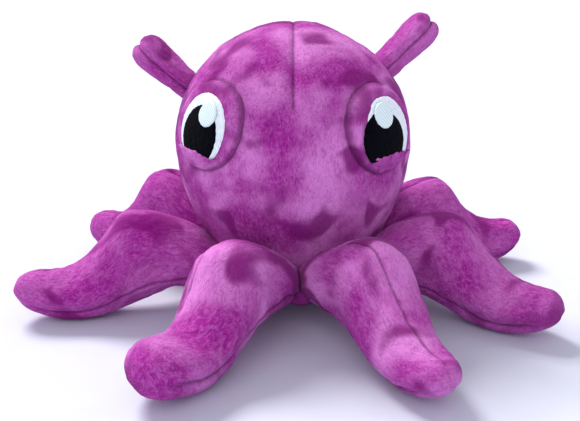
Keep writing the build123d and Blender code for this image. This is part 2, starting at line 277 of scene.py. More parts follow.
def wrapped(angle):
    """Angle brought to the range from -pi to pi."""
    return (angle + pi) % (2 * pi) - pi


def smooth_rows(rows, count):
    """A smooth run of count rows through the given ones."""
    at = np.linspace(0, len(rows) - 1, count)
    low = np.minimum(at.astype(int), len(rows) - 2)
    t = (at - low)[:, None]
    slopes = np.gradient(rows, axis=0)
    a, b = rows[low], rows[low + 1]
    ta, tb = slopes[low], slopes[low + 1]
    return (
        a * (2 * t**3 - 3 * t**2 + 1)
        + ta * (t**3 - 2 * t**2 + t)
        + b * (3 * t**2 - 2 * t**3)
        + tb * (t**3 - t**2)
    )


def unit(vector):
    return vector / np.linalg.norm(vector, axis=-1, keepdims=True)


def outward(azimuth):
    return np.array([sin(azimuth), -cos(azimuth), 0.0])


def sideways(azimuth):
    return np.array([cos(azimuth), sin(azimuth), 0.0])


# ---- meshes ----
def read_values(items, key, width):
    values = np.empty(len(items) * width, np.float32)
    items.foreach_get(key, values)
    return values.reshape(-1, width).astype(float)


def get_points(mesh):
    return read_values(mesh.vertices, "co", 3) / MM


def get_normals(mesh):
    return read_values(mesh.vertex_normals, "vector", 3)


def get_attribute(mesh, key):
    return read_values(mesh.attributes[key].data, "value", 1)[:, 0]


def set_attribute(mesh, key, values):
    values = np.asarray(values, np.float32)
    kind, field = ("FLOAT", "value") if values.ndim == 1 else ("FLOAT_VECTOR", "vector")
    layer = mesh.attributes.get(key) or mesh.attributes.new(key, kind, "POINT")
    layer.data.foreach_set(field, values.ravel())


def set_points(mesh, points):
    mesh.vertices.foreach_set("co", (points * MM).astype(np.float32).ravel())
    mesh.update()


def node_points(name):
    return get_points(frame["nodes"][name].data)


def new_piece(name, points, faces, **attributes):
    mesh = bpy.data.meshes.new(name)
    mesh.from_pydata((np.asarray(points) * MM).tolist(), [], faces)
    mesh.update()
    for key, values in attributes.items():
        set_attribute(mesh, key, values)
    piece = bpy.data.objects.new(name, mesh)
    bpy.context.scene.collection.objects.link(piece)
    return piece


def tube_faces(rings, spokes):
    """Faces of rings of points in a row, closed at each end round one more point."""
    faces = []
    first_pole, last_pole = rings * spokes, rings * spokes + 1
    for spoke in range(spokes):
        after = (spoke + 1) % spokes
        faces.append((first_pole, after, spoke))
        last = (rings - 1) * spokes
        faces.append((last_pole, last + spoke, last + after))
        for ring in range(rings - 1):
            here, there = ring * spokes, (ring + 1) * spokes
            faces.append((here + spoke, here + after, there + after, there + spoke))
    return faces


def tube_bands(rings, spokes):
    """Number of the ring that each point of a tube is in; each end point is a ring of its own."""
    return np.append(np.repeat(np.arange(rings), spokes), [rings, rings + 1])


def seam_gaps(angle, girth, seams):
    """Distance to each seam of a tube, from the angle of each point on its slice."""
    return [np.abs(wrapped(angle - radians(seam))) * girth for seam in seams]


def new_tube(name, points, along, girth, angle, seams):
    """Closed tube of rings of points and two end points. It keeps each point's way along the tube,
    with the ends' ways last, the girth of its slice and its angle on that slice."""
    girth = np.repeat(girth, angle.shape[1])
    fields = {
        "along": np.append(np.repeat(along[:-2], angle.shape[1]), along[-2:]),
        "girth": np.append(girth, [0, 0]),
        "turn_cos": np.append(np.cos(angle), [0, 0]),
        "turn_sin": np.append(np.sin(angle), [0, 0]),
    }
    piece = new_piece(name, points, tube_faces(*angle.shape), **fields)
    gap = np.min(seam_gaps(angle.ravel(), girth, seams), axis=0)
    add_weights(piece, "sewn", np.append(bell(gap, THREAD_REACH), [0, 0]))
    return piece


def read_tube(mesh, seams, seed):
    """Each point's way along a tube, its distance to each seam and its place in the pile."""
    along, girth = get_attribute(mesh, "along"), get_attribute(mesh, "girth")
    angle = np.arctan2(get_attribute(mesh, "turn_sin"), get_attribute(mesh, "turn_cos"))
    nap = np.stack([along, girth * np.cos(angle), girth * np.sin(angle)], axis=1)
    return along, seam_gaps(angle, girth, seams), nap + NAP_SHIFT * seed


def add_weights(piece, group_name, weights):
    group = piece.vertex_groups.new(name=group_name)
    for index in np.nonzero(weights > WEIGHT_CUT)[0]:
        group.add([int(index)], float(weights[index]), "REPLACE")


def keep_form(points, move, band):
    """Takes a band's shift and its overall growth out of its move, so that only its shape changes."""
    count = np.bincount(band)[:, None]

    def average(values):
        return np.stack([np.bincount(band, column) for column in values.T], axis=1) / count

    away = points - average(points)[band]
    away = away / np.maximum(np.linalg.norm(away, axis=1, keepdims=True), TINY)
    move = move - average(move)[band]
    growth = np.sum(move * away, axis=1, keepdims=True)
    return move - average(growth)[band] * away


def swell(pieces, bands):
    """Cloth simulation of all soft pieces at once: air pressure inside and tight thread at the seams."""
    scene = bpy.context.scene
    scene.frame_start, scene.frame_end = 1, SWELL_FRAMES
    for piece in pieces:
        cloth = piece.modifiers.new("Swell", "CLOTH")
        for key, value in CLOTH.items():
            setattr(cloth.settings, key, value)
        cloth.settings.effector_weights.gravity = 0
        cloth.point_cache.frame_start = 1
        cloth.point_cache.frame_end = SWELL_FRAMES
    for moment in range(1, SWELL_FRAMES + 1):
        scene.frame_set(moment)
    graph = bpy.context.evaluated_depsgraph_get()
    for piece, band in zip(pieces, bands):
        before = get_points(piece.data)
        swollen = piece.evaluated_get(graph)
        move = get_points(swollen.to_mesh()) - before
        swollen.to_mesh_clear()
        move = keep_form(before, move, band)
        length = np.linalg.norm(move, axis=1, keepdims=True)
        move *= np.minimum(1, SWELL_CAP / np.maximum(length, TINY))
        piece.modifiers.clear()
        set_points(piece.data, before + move)
    scene.frame_set(1)


def refine(piece):
    """Subdivides the simulated mesh, once for the form and again for room for the pile."""
    smooth = piece.modifiers.new("Smooth", "SUBSURF")
    smooth.levels = smooth.render_levels = FINE_LEVELS
    graph = bpy.context.evaluated_depsgraph_get()
    fine = bpy.data.meshes.new_from_object(
        piece.evaluated_get(graph), preserve_all_data_layers=True, depsgraph=graph
    )
    piece.modifiers.clear()
    piece.vertex_groups.clear()
    piece.data = fine
    fine.name = piece.name
    return fine


def plush_relief(points, along, gaps, seed, ease=1.0):
    """Height of sewn plush at points, from the distance to each seam and the way along the seams.
    Also gives how much each point is in a seam. Seams are shallower where ease is small."""
    height = LUMP_HEIGHT * noise(points, LUMP_LENGTH, seed)
    height += WAVE_HEIGHT * noise(points, WAVE_LENGTH, seed + WAVE_SHIFT)
    height += PILE_HEIGHT * noise(points * PILE_COMB, PILE_LENGTH, seed + PILE_SHIFT)
    in_seam = np.zeros(len(points))
    for number, gap in enumerate(gaps):
        seam_place = np.full(len(points), SEAM_SHIFT * number)
        track = np.stack([along, gap * PUCKER_ACROSS, seam_place], axis=1)
        pull = 1 + TENSION_CHANGE * noise(track, TENSION_LENGTH, seed + TENSION_SHIFT)
        depth = SEAM_DEPTH * (SEAM_EVENNESS + (1 - SEAM_EVENNESS) * pull)
        height -= ease * depth * bell(gap, SEAM_WIDTH)
        height -= ease * VALLEY_DEPTH * bell(gap, VALLEY_WIDTH) * pull
        height -= PUCKER_HEIGHT * np.exp(-gap / PUCKER_REACH) * noise(track, PUCKER_LENGTH, seed)
        in_seam = np.maximum(in_seam, ease * bell(gap, SEAM_LINE))
    return height, in_seam


def paint(piece, material):
    piece.data.shade_smooth()
    piece.data.materials.clear()
    piece.data.materials.append(material)


def finish_plush(piece, points, in_seam, nap, material, *nodes):
    """Writes the final shape and what the plush shader reads, and takes the place of CAD nodes."""
    set_points(piece.data, points)
    set_attribute(piece.data, "seam", in_seam)
    set_attribute(piece.data, "nap", nap)
    set_attribute(piece.data, "brushed_and_shaded", np.full(len(points), BRUSHED_AND_SHADED.get(piece.name, 0.0)))
    paint(piece, material)
    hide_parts(*nodes)


# ---- materials ----
def linear(red, green, blue):
    """Colour from 0-255 display values, as Blender's linear RGBA."""
    shares = (value / 255 for value in (red, green, blue))
    return [s / 12.92 if s < 0.04045 else ((s + 0.055) / 1.055) ** 2.4 for s in shares] + [1.0]


class Shader:
    """Node graph of one material, built by name."""

    def __init__(self, name):
        self.material = bpy.data.materials.new(name)
        self.material.use_nodes = True
        self.tree = self.material.node_tree
        self.surface = self.tree.nodes["Principled BSDF"]

    def node(self, kind, inputs=None, **settings):
        node = self.tree.nodes.new("ShaderNode" + kind)
        for key, value in settings.items():
            setattr(node, key, value)
        for key, value in (inputs or {}).items():
            self.plug(node.inputs[key], value)
        return node

    def plug(self, socket, value):
        if isinstance(value, bpy.types.NodeSocket):
            self.tree.links.new(value, socket)
        else:
            socket.default_value = value

    def noise(self, where, scale, detail=2.0, rough=0.5, bend=0.0):
        inputs = {
            "Vector": where,
            "Scale": scale,
            "Detail": detail,
            "Roughness": rough,
            "Distortion": bend,
        }
        return self.node("TexNoise", inputs).outputs["Fac"]

    def waves(self, where, scale, bend, detail, direction):
        inputs = {"Vector": where, "Scale": scale, "Distortion": bend, "Detail": detail}
        return self.node("TexWave", inputs, bands_direction=direction).outputs["Fac"]

    def ramp(self, value, low, high):
        """Value brought to 0 at low and 1 at high, smoothly."""
        inputs = {"Value": value, "From Min": low, "From Max": high}
        return self.node("MapRange", inputs, interpolation_type="SMOOTHSTEP").outputs["Result"]

    def mix(self, share, first, second):
        node = self.node("Mix", data_type="RGBA")
        self.plug(node.inputs["Factor"], share)
        self.plug(node.inputs[6], first)
        self.plug(node.inputs[7], second)
        return node.outputs[2]

    def math(self, operation, first, second):
        return self.node("Math", {0: first, 1: second}, operation=operation).outputs[0]

    def attribute(self, name, output):
        return self.node("Attribute", attribute_name=name).outputs[output]

    def object_place(self):
        return self.node("TexCoord").outputs["Object"]

    def stretch(self, where, scale=(1.0, 1.0, 1.0), turn=0.0):
        inputs = {"Vector": where, "Scale": scale, "Rotation": (0.0, turn, 0.0)}
        return self.node("Mapping", inputs).outputs["Vector"]

    def bump(self, height, strength, distance, below=None):
        inputs = {"Height": height, "Strength": strength, "Distance": distance}
        if below is not None:
            inputs["Normal"] = below
        return self.node("Bump", inputs).outputs["Normal"]

    def finish(self, **inputs):
        for key, value in inputs.items():
            self.plug(self.surface.inputs[key.replace("_", " ")], value)
        return self.material


def plush_material():
    """Short pile, combed into hand-sized strokes that lie light or dark, with fine tufts; painted
    highlights on the crests of the pile, painted shade in its hollows and between its tufts, and a
    painted sheen that lightens the rim.
    """
    shader = Shader("magenta plush")
    nap = shader.attribute("nap", "Vector")
    upright_and_lit = shader.math("SUBTRACT", 1.0, shader.attribute("brushed_and_shaded", "Fac"))
    light, middle, dark = linear(212, 126, 204), linear(158, 38, 144), linear(118, 2, 104)
    hollow_shade = linear(84, 2, 70)
    strokes = shader.ramp(shader.noise(nap, 1 / STROKE_LENGTH, 1.0, 0.3, 0.5), 0.52, 0.68)
    clouds = shader.ramp(shader.noise(nap, 1 / CLOUD_LENGTH, 2.0, 0.5, 0.3), 0.35, 0.66)
    ruffles = shader.noise(shader.stretch(nap, (0.8, 1.0, 1.0)), 1 / RUFFLE_LENGTH, 1.0, 0.5, 0.8)
    curls = shader.noise(shader.stretch(nap, (0.42, 1.0, 1.0)), 1 / CURL_LENGTH, 2.0, 0.5, 1.5)
    tufts = shader.noise(nap, 1 / TUFT_LENGTH, 2.0, 0.6)
    # painted sheen: lighter where the surface turns away from the view
    rim = shader.node("LayerWeight", {"Blend": 0.3}).outputs["Facing"]
    # on the darkened pieces the light clouds are held back: painted shade, together with pile that lies
    # dark
    colour = shader.mix(shader.math("MULTIPLY", clouds, upright_and_lit), middle, light)
    layers = (
        # the next five layers paint highlights on the crests of the ruffles and curls, and paint shade
        # in their hollows and between the tufts
        (shader.ramp(ruffles, 0.48, 0.66), 0.15, linear(206, 124, 198)),
        (shader.ramp(ruffles, 0.46, 0.3), 0.10, hollow_shade),
        (shader.ramp(curls, 0.45, 0.72), 0.24, linear(214, 140, 208)),
        (shader.ramp(curls, 0.52, 0.3), 0.30, hollow_shade),
        (shader.ramp(tufts, 0.5, 0.3), 0.2, dark),
        (strokes, 0.85, dark),
        # painted sheen on the rim
        (rim, 0.18, light),
        (shader.attribute("seam", "Fac"), 0.6, linear(70, 10, 62)),
    )
    for place, share, tone in layers:
        colour = shader.mix(shader.math("MULTIPLY", place, share), colour, tone)
    soft = shader.bump(strokes, 0.25, 0.6 * MM)
    ruffled = shader.bump(ruffles, 0.6, 0.9 * MM, soft)
    coarse = shader.bump(curls, 0.8, 0.7 * MM, ruffled)
    fine = shader.bump(tufts, 0.5, 0.3 * MM, coarse)
    return shader.finish(
        Base_Color=colour,
        Roughness=0.92,
        Specular_IOR_Level=0.03,
        Sheen_Weight=0.04,
        Sheen_Roughness=0.45,
        Sheen_Tint=linear(244, 200, 240),
        Normal=fine,
    )


def felt_material(name, face, fibre, depth, sheen):
    """Pressed wool felt: matted fibres, slightly uneven in tone."""
    shader = Shader(name)
    where = shader.object_place()
    matted = shader.noise(where, 420, 4.0, 0.7, 1.2)
    threads = shader.noise(shader.stretch(where, (1.0, 0.4, 1.6)), 900, 3.0, 0.6, 2.0)
    cloud = shader.noise(where, 90, 2.0)
    colour = shader.mix(shader.ramp(matted, 0.35, 0.65), face, fibre)
    colour = shader.mix(shader.math("MULTIPLY", shader.ramp(cloud, 0.4, 0.7), 0.4), colour, fibre)
    rough = shader.bump(matted, 0.5, 0.3 * MM)
    return shader.finish(
        Base_Color=colour,
        Roughness=0.95,
        Specular_IOR_Level=sheen,
        Sheen_Weight=sheen,
        Normal=shader.bump(threads, depth, 0.15 * MM, rough),
    )


def satin_material():
    """White embroidery: rows of slanted satin stitch."""
    shader = Shader("white satin stitch")
    slanted = shader.stretch(shader.object_place(), turn=radians(38))
    rows = shader.waves(slanted, 260.0, 1.2, 1.0, "X")
    colour = shader.mix(shader.ramp(rows, 0.1, 0.6), linear(204, 224, 229), linear(230, 245, 247))
    return shader.finish(
        Base_Color=colour,
        Roughness=shader.ramp(rows, -1.0, 2.0),
        Specular_IOR_Level=0.5,
        Normal=shader.bump(rows, 0.4, 0.2 * MM),
    )


def thread_material():
    """Sewing thread: two plies twisted together."""
    shader = Shader("purple thread")
    plies = shader.waves(shader.object_place(), 700.0, 2.0, 2.0, "DIAGONAL")
    colour = shader.mix(plies, linear(110, 30, 104), linear(176, 84, 168))
    return shader.finish(Base_Color=colour, Roughness=0.6, Normal=shader.bump(plies, 0.6, 0.1 * MM))


def floor_material():
    shader = Shader("pale floor")
    grain = shader.noise(shader.object_place(), 60, 3.0)
    colour = shader.mix(grain, linear(204, 207, 222), linear(210, 212, 226))
    return shader.finish(Base_Color=colour, Roughness=0.8, Specular_IOR_Level=0.1)


# ---- head ----
head_low, head_high = (np.array(corner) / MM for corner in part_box("head_front_panel"))
HEAD_RADIUS = (head_high[0] - head_low[0]) / 2
HEAD_CENTRE = np.array([0.0, 0.0, head_high[2] - HEAD_RADIUS])


def ball_grid(cells):
    """Directions and faces of a cube whose sides are cut into cells and rounded to a ball."""
    spread = np.tan(np.linspace(-pi / 4, pi / 4, cells + 1))
    index, directions, faces = {}, [], []
    for axis, end in product(range(3), (-1, 1)):
        corners = np.empty((cells + 1, cells + 1), int)
        for i, j in product(range(cells + 1), repeat=2):
            point = np.empty(3)
            point[axis], point[axis - 2], point[axis - 1] = end, spread[i], spread[j]
            key = tuple(np.round(point, 5))
            if key not in index:
                index[key] = len(directions)
                directions.append(point)
            corners[i, j] = index[key]
        for i, j in product(range(cells), repeat=2):
            face = [corners[i, j], corners[i + 1, j], corners[i + 1, j + 1], corners[i, j + 1]]
            faces.append([int(c) for c in face[::end]])
    return unit(np.array(directions)), faces


def head_outline():
    """Heights and reaches from the crown to the foot: ball, slower taper to the crease, neck, and
    the floor that closes it."""
    drop = HEAD_CENTRE[2] - CREASE_HEIGHT
    step = HEAD_RADIUS - CREASE_RADIUS
    flank = (drop**2 + step**2) / (2 * step)
    crown = np.linspace(0, pi / 2, 40)
    lower = np.linspace(0, drop, 24)[1:]
    neck = np.linspace(0, 1, 14)[1:]
    floor = np.linspace(1, 0, 12)[1:]
    heights = [
        HEAD_RADIUS * np.cos(crown),
        -lower,
        -drop - neck * (CREASE_HEIGHT - HEAD_FOOT),
        np.full(len(floor), HEAD_FOOT - HEAD_CENTRE[2] - FOOT_TUCK),
    ]
    reaches = [
        HEAD_RADIUS * np.sin(crown),
        HEAD_RADIUS - flank + np.sqrt(flank**2 - lower**2),
        CREASE_RADIUS - (CREASE_RADIUS - FOOT_RADIUS) * neck**NECK_POWER,
        FOOT_RADIUS * floor,
    ]
    return np.concatenate(heights), np.concatenate(reaches)


def head_form(directions):
    """The head's points in the given directions, spread along its outline by length."""
    heights, reaches = head_outline()
    step = np.hypot(np.diff(heights), np.diff(reaches))
    length = np.concatenate([[0], np.cumsum(step)])
    at = np.arccos(np.clip(directions[:, 2], -1, 1)) / pi * length[-1]
    height = np.interp(at, length, heights)
    reach = np.interp(at, length, reaches)
    turn = np.arctan2(directions[:, 0], -directions[:, 1])
    return HEAD_CENTRE + np.stack([reach * np.sin(turn), -reach * np.cos(turn), height], axis=1)


def head_gaps(points):
    """Distance to each seam: down both sides and the back, and the dart at the front of the crown."""
    local = points - HEAD_CENTRE
    turn = np.arctan2(local[:, 0], -local[:, 1])
    reach = np.hypot(local[:, 0], local[:, 1])
    gaps = seam_gaps(turn, reach, HEAD_SEAMS)
    latitude = np.degrees(np.arctan2(local[:, 2], reach))
    past = np.maximum(0, DART_END - latitude)
    gaps.append(np.hypot(np.abs(wrapped(turn)) * reach, past * DART_FADE))
    return gaps


def head_nap(points):
    """The pile of the head lies downwards, so its coordinates start with the height."""
    return (points - HEAD_CENTRE)[:, [2, 0, 1]]


def start_head():
    directions, faces = ball_grid(HEAD_CELLS)
    points = head_form(directions)
    piece = new_piece("head_skin", points, faces)
    add_weights(piece, "sewn", bell(np.min(head_gaps(points), axis=0), HEAD_THREAD_REACH))
    add_weights(piece, "held", (points[:, 2] < CREASE_HEIGHT).astype(float))
    return piece


def mound_gap(points, seat):
    """Distance to the rim of an eye's mound, over the surface of the head."""
    local = points - HEAD_CENTRE
    reach = np.hypot(local @ seat.right, local @ seat.up)
    behind = np.maximum(0, -(local @ seat.face))
    return np.abs(reach - seat.half[0] * MOUND_SHARE) + behind


def sculpt_head(piece, material, mound_seats):
    mesh = refine(piece)
    points = get_points(mesh)
    nap = head_nap(points)
    gaps = head_gaps(points) + [mound_gap(points, seat) for seat in mound_seats]
    height, in_seam = plush_relief(nap, points[:, 2], gaps, HEAD_SEED)
    points = points + get_normals(mesh) * height[:, None]
    skins = ("front_panel", "back_right_panel", "back_left_panel", "stuffing")
    finish_plush(piece, points, in_seam, nap, material, *[f"head_{skin}" for skin in skins])
    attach(piece, "head")


# ---- hub ----
def make_hub(material, crotches):
    """Underside with its round base, which stands out as a web at each crotch between two roots."""
    rows = smooth_rows(HUB_OUTLINE, HUB_RINGS + 2)[1:-1]
    turns = np.linspace(0, 2 * pi, HUB_SPOKES, endpoint=False)
    spread = np.stack([np.sin(turns), -np.cos(turns), np.zeros(HUB_SPOKES)], axis=1)
    rings = rows[:, 0][:, None, None] * spread + rows[:, 1][:, None, None] * np.array([0, 0, 1.0])
    low = bell(rows[:, 1] - WEB_HEIGHT, WEB_THICKNESS) * (rows[:, 0] > WEB_START)
    for between in crotches:
        away = bell(wrapped(turns - between), WEB_TURN)
        rings = rings + WEB_REACH * low[:, None, None] * away[:, None] * spread
    ends = HUB_OUTLINE[[0, -1]][:, [0, 0, 1]]
    points = np.vstack([rings.reshape(-1, 3), ends])
    piece = new_piece("underside_skin", points, tube_faces(HUB_RINGS, HUB_SPOKES))
    reach = np.hypot(points[:, 0], points[:, 1])
    along = np.arctan2(points[:, 0], -points[:, 1]) * HUB_RADIUS
    side_gap = np.abs(points[:, 2] - HUB_SEAM_HEIGHT) + FAR * (reach < HUB_SEAM_START)
    base_gap = np.abs(reach - BASE_SEAM_RADIUS) + FAR * (points[:, 2] > BASE_SEAM_TOP)
    height, in_seam = plush_relief(points, along, [side_gap, base_gap], HUB_SEED)
    points = points + get_normals(piece.data) * height[:, None]
    finish_plush(piece, points, in_seam, points, material, "base_panel")
    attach(piece, "head")


# ---- tentacles ----
class Tentacle:
    """Root direction and tip of one tentacle, read from the frame."""

    def __init__(self, joint):
        self.body = joint["child"]
        self.name = self.body.removesuffix("_tentacle")
        self.azimuth = atan2(-joint["axis"][1], -joint["axis"][0])
        self.out, self.side = outward(self.azimuth), sideways(self.azimuth)
        parts = ("left_panel", "right_panel", "underside_panel", "stuffing")
        self.nodes = [f"{self.body}_{part}" for part in parts]
        skin = np.vstack([node_points(node) for node in self.nodes[:2]])
        reach = skin @ self.out
        self.tip_reach = reach.max() - PILE_TRIM
        self.tip_side = (skin @ self.side)[reach > reach.max() - TIP_DEPTH].mean()
        self.length = 0.0  # of its middle line, once its skin is started

    def place(self, reach, height):
        """Points of the bent middle plane, from reaches along the root direction and heights."""
        share = (reach - ROOT_REACH) / (TENTACLE_SLICES[-1, 0] - ROOT_REACH)
        out = ROOT_REACH + share * (self.tip_reach - ROOT_REACH)
        side = self.tip_side * np.maximum(share, 0) ** SWEEP_POWER
        flat = out[:, None] * self.out + side[:, None] * self.side
        return flat + height[:, None] * np.array([0.0, 0.0, 1.0])


def start_tentacle(tentacle):
    rows = smooth_rows(TENTACLE_SLICES, TENTACLE_RINGS)
    near_arch = bell(rows[:, 0] - ARCH_REACH, ARCH_WIDTH)
    near_toe = bell(rows[:, 0] - TOE_REACH, TOE_WIDTH)
    rows[:, 1] *= 1 + RAISE.get(tentacle.name, 0) * near_arch
    rows[:, 1] *= 1 + TOE_RISE.get(tentacle.name, 0) * near_toe
    flare = TOE_FLARE.get(tentacle.name, 0) * near_toe
    ridge = tentacle.place(rows[:, 0], rows[:, 1])
    belly = tentacle.place(rows[:, 2], rows[:, 3])
    middle, up = (ridge + belly) / 2, (ridge - belly) / 2
    across = unit(np.cross(unit(np.gradient(middle, axis=0)), up))
    turns = np.linspace(0, 2 * pi, TENTACLE_SPOKES, endpoint=False)
    lift, lean = np.cos(turns)[None, :, None], np.sin(turns)[None, :, None]
    width = (rows[:, 4] * (1 + np.abs(flare)))[:, None, None]
    middle = middle - across * (rows[:, 4] * flare)[:, None]
    rings = middle[:, None] + up[:, None] * lift + across[:, None] * width * lean
    end_height = (rows[-1, 1] + rows[-1, 3]) / 2
    tip = tentacle.place(np.array([TENTACLE_END]), np.array([end_height]))
    points = np.vstack([rings.reshape(-1, 3), middle[:1], tip])
    step = np.linalg.norm(np.diff(middle, axis=0), axis=1)
    along = np.concatenate([[0], np.cumsum(step)])
    tentacle.length = along[-1]
    at_root, at_toe = TWIST.get(tentacle.name, (0, 0))
    twist = np.radians(at_root + (at_toe - at_root) * along / tentacle.length)
    angle = turns[None, :] + twist[:, None] * (0.5 + 0.5 * np.cos(turns))
    girth = (np.linalg.norm(up, axis=1) + rows[:, 4]) / 2
    ways = np.append(along, [0, tentacle.length])
    piece = new_tube(f"{tentacle.body}_skin", points, ways, girth, angle, TENTACLE_SEAMS)
    add_weights(piece, "held", (points @ tentacle.out < HINGE_REACH).astype(float))
    return piece


def sculpt_tentacle(piece, tentacle, neighbours, material, seed):
    mesh = refine(piece)
    along, gaps, nap = read_tube(mesh, TENTACLE_SEAMS, seed)
    ease = np.clip((tentacle.length - along) / TOE_EASE_LENGTH, TOE_EASE, 1)
    height, in_seam = plush_relief(nap, along, gaps, seed, ease)
    points = get_points(mesh) + get_normals(mesh) * height[:, None]
    for other in neighbours:
        points = keep_apart(points, tentacle.azimuth, other.azimuth)
    pile_on_floor = FLOOR_SOFTNESS * np.exp(-np.abs(points[:, 2]))
    points[:, 2] = np.maximum(points[:, 2], 0.0) + pile_on_floor
    finish_plush(piece, points, in_seam, nap, material, *tentacle.nodes)
    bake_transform(piece)


def keep_apart(points, azimuth, other):
    """Presses points flat against the upright plane halfway to a neighbouring root."""
    between = azimuth + wrapped(other - azimuth) / 2
    wall = sideways(between) * np.sign(wrapped(other - azimuth))
    over = points @ wall
    push = CONTACT_SOFTNESS * np.logaddexp(0, over / CONTACT_SOFTNESS)
    return points - push[:, None] * wall


# ---- fins ----
class Fin:
    """Flap axis and direction of one fin, read from the frame."""

    def __init__(self, joint):
        self.body = joint["child"]
        self.hinge = np.array(joint["pos_m"]) / MM
        self.nodes = [f"{self.body}_{part}" for part in ("upper_panel", "lower_panel", "stuffing")]
        skin = np.vstack([node_points(node) for node in self.nodes[:2]])
        far = np.linalg.norm(skin - self.hinge, axis=1)
        tip = skin[far > far.max() - FIN_TIP_DEPTH].mean(axis=0) - self.hinge
        lean = atan2(tip[2], abs(tip[0])) + radians(FIN_LIFT)
        self.out = np.array([np.sign(self.hinge[0]) * cos(lean), 0.0, sin(lean)])
        self.front = np.array([0.0, -1.0, 0.0])
        self.over = np.cross(self.front, self.out)


def start_fin(fin):
    rows = smooth_rows(FIN_SLICES, FIN_RINGS)
    turns = np.linspace(0, 2 * pi, FIN_SPOKES, endpoint=False)
    lift, lean = np.cos(turns)[None, :, None], np.sin(turns)[None, :, None]
    middle = fin.hinge + rows[:, :1] * fin.out
    rings = middle[:, None] + fin.over * rows[:, 1][:, None, None] * lift
    rings = rings + fin.front * rows[:, 2][:, None, None] * lean
    ways = np.append(rows[:, 0], [rows[0, 0], FIN_END])
    ends = fin.hinge + ways[-2:, None] * fin.out
    points = np.vstack([rings.reshape(-1, 3), ends])
    girth = (rows[:, 1] + rows[:, 2]) / 2
    angle = np.tile(turns, (FIN_RINGS, 1))
    piece = new_tube(f"{fin.body}_skin", points, ways, girth, angle, FIN_SEAMS)
    add_weights(piece, "held", ((points - fin.hinge) @ fin.out < FIN_HELD).astype(float))
    return piece


def sculpt_fin(piece, fin, material, seed):
    mesh = refine(piece)
    along, gaps, nap = read_tube(mesh, FIN_SEAMS, seed)
    height, in_seam = plush_relief(nap, along, gaps, seed)
    near_tip = np.clip((along - CLEFT_START) / (FIN_END - CLEFT_START), 0, 1)
    height -= FIN_CLEFT * near_tip * bell(np.min(gaps, axis=0), CLEFT_WIDTH)
    points = get_points(mesh) + get_normals(mesh) * height[:, None]
    finish_plush(piece, points, in_seam, nap, material, *fin.nodes)
    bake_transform(piece)


# ---- eyes ----
class Seat:
    """Where an eye's layer lies on the head: its outward direction, its axes and its half sizes."""

    def __init__(self, node):
        mesh = frame["nodes"][node].data
        areas = np.array([face.area for face in mesh.polygons])
        centres = np.array([face.center for face in mesh.polygons]) / MM
        self.face = unit((centres * areas[:, None]).sum(axis=0) / areas.sum() - HEAD_CENTRE)
        self.right = unit(np.cross([0.0, 0.0, 1.0], self.face))
        self.up = np.cross(self.face, self.right)
        local = node_points(node) - HEAD_CENTRE
        self.half = np.array([np.abs(local @ self.right).max(), np.abs(local @ self.up).max()])

    def place(self, right, up, height):
        """Points at places across the layer, at heights above the head's ball."""
        inward = (HEAD_RADIUS + height) ** 2 - right**2 - up**2
        deep = np.sqrt(np.maximum(inward, 0))
        parts = (right, self.right), (up, self.up), (deep, self.face)
        return HEAD_CENTRE + sum(amount[..., None] * axis for amount, axis in parts)


def lens(name, seat, half, profile, rings, spokes, relief=0.0, ragged=0.0, cut=None):
    """Closed disc that lies on the head. The profile runs from its face to its back as shares of
    the half size and heights above the ball. A cut is the depth and the slope of a straight lower
    edge."""
    rows = smooth_rows(np.array(profile), rings + 2)
    turns = np.linspace(0, 2 * pi, spokes, endpoint=False)
    circle = np.stack([np.cos(turns), np.sin(turns), np.zeros(spokes)], axis=1)
    edge = 1 + ragged * noise(circle * RAGGED_DETAIL + seat.face * RAGGED_SHIFT, 1.0)
    if cut is not None:
        depth, slope = cut
        fall = -(half[1] * circle[:, 1] + slope * half[0] * circle[:, 0])
        edge = np.minimum(edge, depth / np.maximum(fall, TINY))
    share = rows[1:-1, 0][:, None] * edge
    right = half[0] * share * circle[:, 0]
    up = half[1] * share * circle[:, 1]
    heights = np.repeat(rows[1:-1, 1][:, None], spokes, axis=1)
    flat = np.stack([right.ravel(), up.ravel(), heights.ravel() * GRAIN_STEEPNESS], axis=1)
    heights = heights + relief * noise(flat, FELT_GRAIN).reshape(heights.shape)
    ring_points = seat.place(right, up, heights).reshape(-1, 3)
    poles = seat.place(np.zeros(2), np.zeros(2), rows[[0, -1], 1])
    return new_piece(name, np.vstack([ring_points, poles]), tube_faces(rings, spokes))


def felt_profile(low, thickness):
    """Profile of a felt disc with rounded cut edges, for lens."""
    top = low + thickness
    return [
        (0.0, top), (0.45, top), (0.85, top), (0.95, top - 0.05), (0.99, top - 0.25),
        (1.0, low + 0.4 * thickness), (0.985, low), (0.5, low), (0.0, low),
    ]


def make_mound(side, seat, material):
    half = seat.half * MOUND_SHARE
    mound = lens(f"{side}_eye_mound_skin", seat, half, MOUND_PROFILE, MOUND_RINGS, MOUND_SPOKES)
    points = get_points(mound.data)
    local = points - HEAD_CENTRE
    reach = np.hypot(local @ seat.right, local @ seat.up)
    rim_gap = np.abs(reach - half[0]) + FAR * (local @ seat.face < MOUND_BACK)
    along = np.arctan2(local @ seat.up, local @ seat.right) * seat.half[0]
    nap = head_nap(points)
    height, in_seam = plush_relief(nap, along, [rim_gap], MOUND_SEED)
    points = points + get_normals(mound.data) * height[:, None] * MOUND_RELIEF
    nodes = (f"{side}_eye_mound", f"{side}_eye_padding")
    finish_plush(mound, points, in_seam, nap, material, *nodes)
    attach(mound, "head")


def make_eye(side, materials):
    mound_seat = Seat(f"{side}_eye_mound")
    make_mound(side, mound_seat, materials["plush"])
    for layer, low, thickness, slot, relief, share in FELT_LAYERS:
        node = f"{side}_eye_{layer}"
        seat = Seat(node)
        piece = lens(
            f"{node}_disc",
            seat,
            seat.half * share,
            felt_profile(low, thickness),
            FELT_RINGS,
            FELT_SPOKES,
            relief,
            FELT_RAGGED,
            lid_cut(side, mound_seat, seat),
        )
        paint(piece, materials[slot])
        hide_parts(node)
        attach(piece, "head")
    make_lid(side, mound_seat, materials["plush"])


